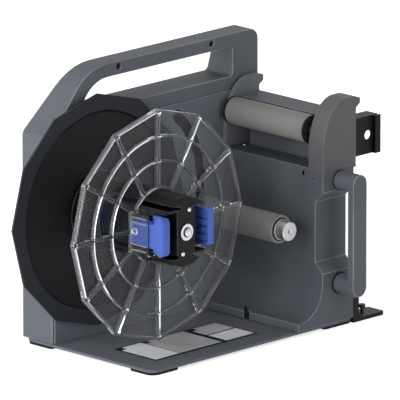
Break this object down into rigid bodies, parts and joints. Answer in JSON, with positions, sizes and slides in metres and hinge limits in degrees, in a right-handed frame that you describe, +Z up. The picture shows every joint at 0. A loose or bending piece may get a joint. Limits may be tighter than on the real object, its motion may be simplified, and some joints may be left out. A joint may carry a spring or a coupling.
{
  "type": "label rewinder",
  "caption": "Desktop label rewinder: a motor-driven hub between flanges winds up labels that come over a guide roller and a swinging dancer roller; housing with carry handle on a base.",
  "frame": {"origin": "middle of the bounding box, on the surface that the feet stand on", "axes": "+Z up, +Y from the operator's side towards the housing, +X towards the printer brackets"},
  "size_m": [0.431, 0.2292, 0.294],
  "materials": {
    "housing_casting": "cast, with fine textured dark blue-grey paint",
    "housing_sheet": "sheet steel with fine textured dark blue-grey paint",
    "support_plastic": "matt warm grey",
    "black_plastic": "satin black",
    "bracket_steel": "matt black",
    "clear_plastic": "clear, polished",
    "blue_plastic": "semi-gloss blue",
    "bright_steel": "turned",
    "bare_aluminium": "as machined",
    "motor_can": "black",
    "roller_grey": "matt grey coating",
    "rubber_black": "matt",
    "label_print": "printed film",
    "circuit_green": "solder mask"
  },
  "bodies": {
    "frame": {"main_housing": "housing_casting", "side_wall": "housing_casting", "side_handle": "housing_casting", "wall_clip": "housing_casting", "front_panel": "housing_sheet", "back_cover": "housing_sheet", "base_plate": "housing_sheet", "front_roller_support": "support_plastic", "rear_roller_support": "support_plastic", "power_inlet": "black_plastic", "power_switch_frame": "black_plastic", "upper_printer_bracket": "bracket_steel", "lower_printer_bracket": "bracket_steel", "clamp_screw": "bracket_steel", "handle_screw_left": "bright_steel", "handle_screw_right": "bright_steel", "shelf_screw": "bright_steel", "spindle_front_bearing": "bright_steel", "spindle_rear_bearing": "bright_steel", "dancer_pivot_post": "bright_steel", "dancer_pivot_clip": "bright_steel", "guide_roller_axle": "bright_steel", "spindle_bearing_housing": "bare_aluminium", "motor_mount": "bare_aluminium", "board_tray": "bare_aluminium", "winding_motor": "motor_can", "foot_front_left": "rubber_black", "foot_front_right": "rubber_black", "foot_rear_left": "rubber_black", "foot_rear_right": "rubber_black", "drive_belt": "rubber_black", "dancer_stop": "rubber_black", "instruction_plate": "label_print", "circuit_board": "circuit_green"},
    "spindle": {"spindle_shaft": "bright_steel", "label_core_hub": "black_plastic", "hub_washer": "bright_steel", "hub_bolt": "bright_steel", "hub_screw_upper": "bright_steel", "hub_screw_lower": "bright_steel", "rear_flange": "black_plastic", "driven_pulley": "black_plastic"},
    "outer_flange": {"outer_flange": "clear_plastic", "left_tab_spring": "bright_steel", "right_tab_spring": "bright_steel"},
    "left_release_tab": {"left_release_tab": "blue_plastic"},
    "right_release_tab": {"right_release_tab": "blue_plastic"},
    "motor_rotor": {"motor_shaft": "bright_steel", "drive_pulley": "black_plastic"},
    "dancer": {"dancer_arm": "bright_steel", "dancer_axle": "bright_steel", "dancer_axle_nut": "bright_steel", "dancer_retaining_ring": "bright_steel"},
    "dancer_roller": {"dancer_roller": "roller_grey", "dancer_front_bush": "black_plastic", "dancer_rear_bush": "black_plastic"},
    "guide_roller": {"guide_roller": "roller_grey", "guide_roller_front_cap": "black_plastic", "guide_roller_rear_cap": "black_plastic"},
    "power_rocker": {"power_rocker": "black_plastic"}
  },
  "joints": [
    {"name": "spindle_spin", "type": "hinge", "parent": "frame", "child": "spindle", "pos_m": [-0.09045, 0.06542, 0.1435], "axis": [0, -1, 0], "continuous": true},
    {"name": "motor_spin", "type": "hinge", "parent": "frame", "child": "motor_rotor", "pos_m": [-0.01485, 0.06542, 0.053], "axis": [0, -1, 0], "continuous": true},
    {"name": "flange_slide", "type": "slide", "parent": "spindle", "child": "outer_flange", "axis": [0, -1, 0], "range_m": [-0.044, 0.03]},
    {"name": "left_tab_press", "type": "slide", "parent": "outer_flange", "child": "left_release_tab", "axis": [1, 0, 0], "range_m": [0, 0.006], "stiffness_N_per_m": 900, "springref_m": -0.003, "deforming": ["left_tab_spring"]},
    {"name": "right_tab_press", "type": "slide", "parent": "outer_flange", "child": "right_release_tab", "axis": [-1, 0, 0], "range_m": [0, 0.006], "stiffness_N_per_m": 900, "springref_m": -0.003, "deforming": ["right_tab_spring"]},
    {"name": "dancer_swing", "type": "hinge", "parent": "frame", "child": "dancer", "pos_m": [-0.02655, 0.06542, 0.1447], "axis": [0, -1, 0], "range_deg": [0, 68]},
    {"name": "dancer_roller_spin", "type": "hinge", "parent": "dancer", "child": "dancer_roller", "pos_m": [0.06625, 0.06542, 0.11383], "axis": [0, -1, 0], "continuous": true},
    {"name": "guide_roller_spin", "type": "hinge", "parent": "frame", "child": "guide_roller", "pos_m": [0.11315, 0.06542, 0.2135], "axis": [0, -1, 0], "continuous": true},
    {"name": "power_switch_rock", "type": "hinge", "parent": "frame", "child": "power_rocker", "pos_m": [-0.04885, 0.10472, 0.043], "axis": [1, 0, 0], "range_deg": [-18, 0]}
  ],
  "couplings": [
    {"joint": "motor_spin", "follows": "spindle_spin", "ratio": 3}
  ]
}
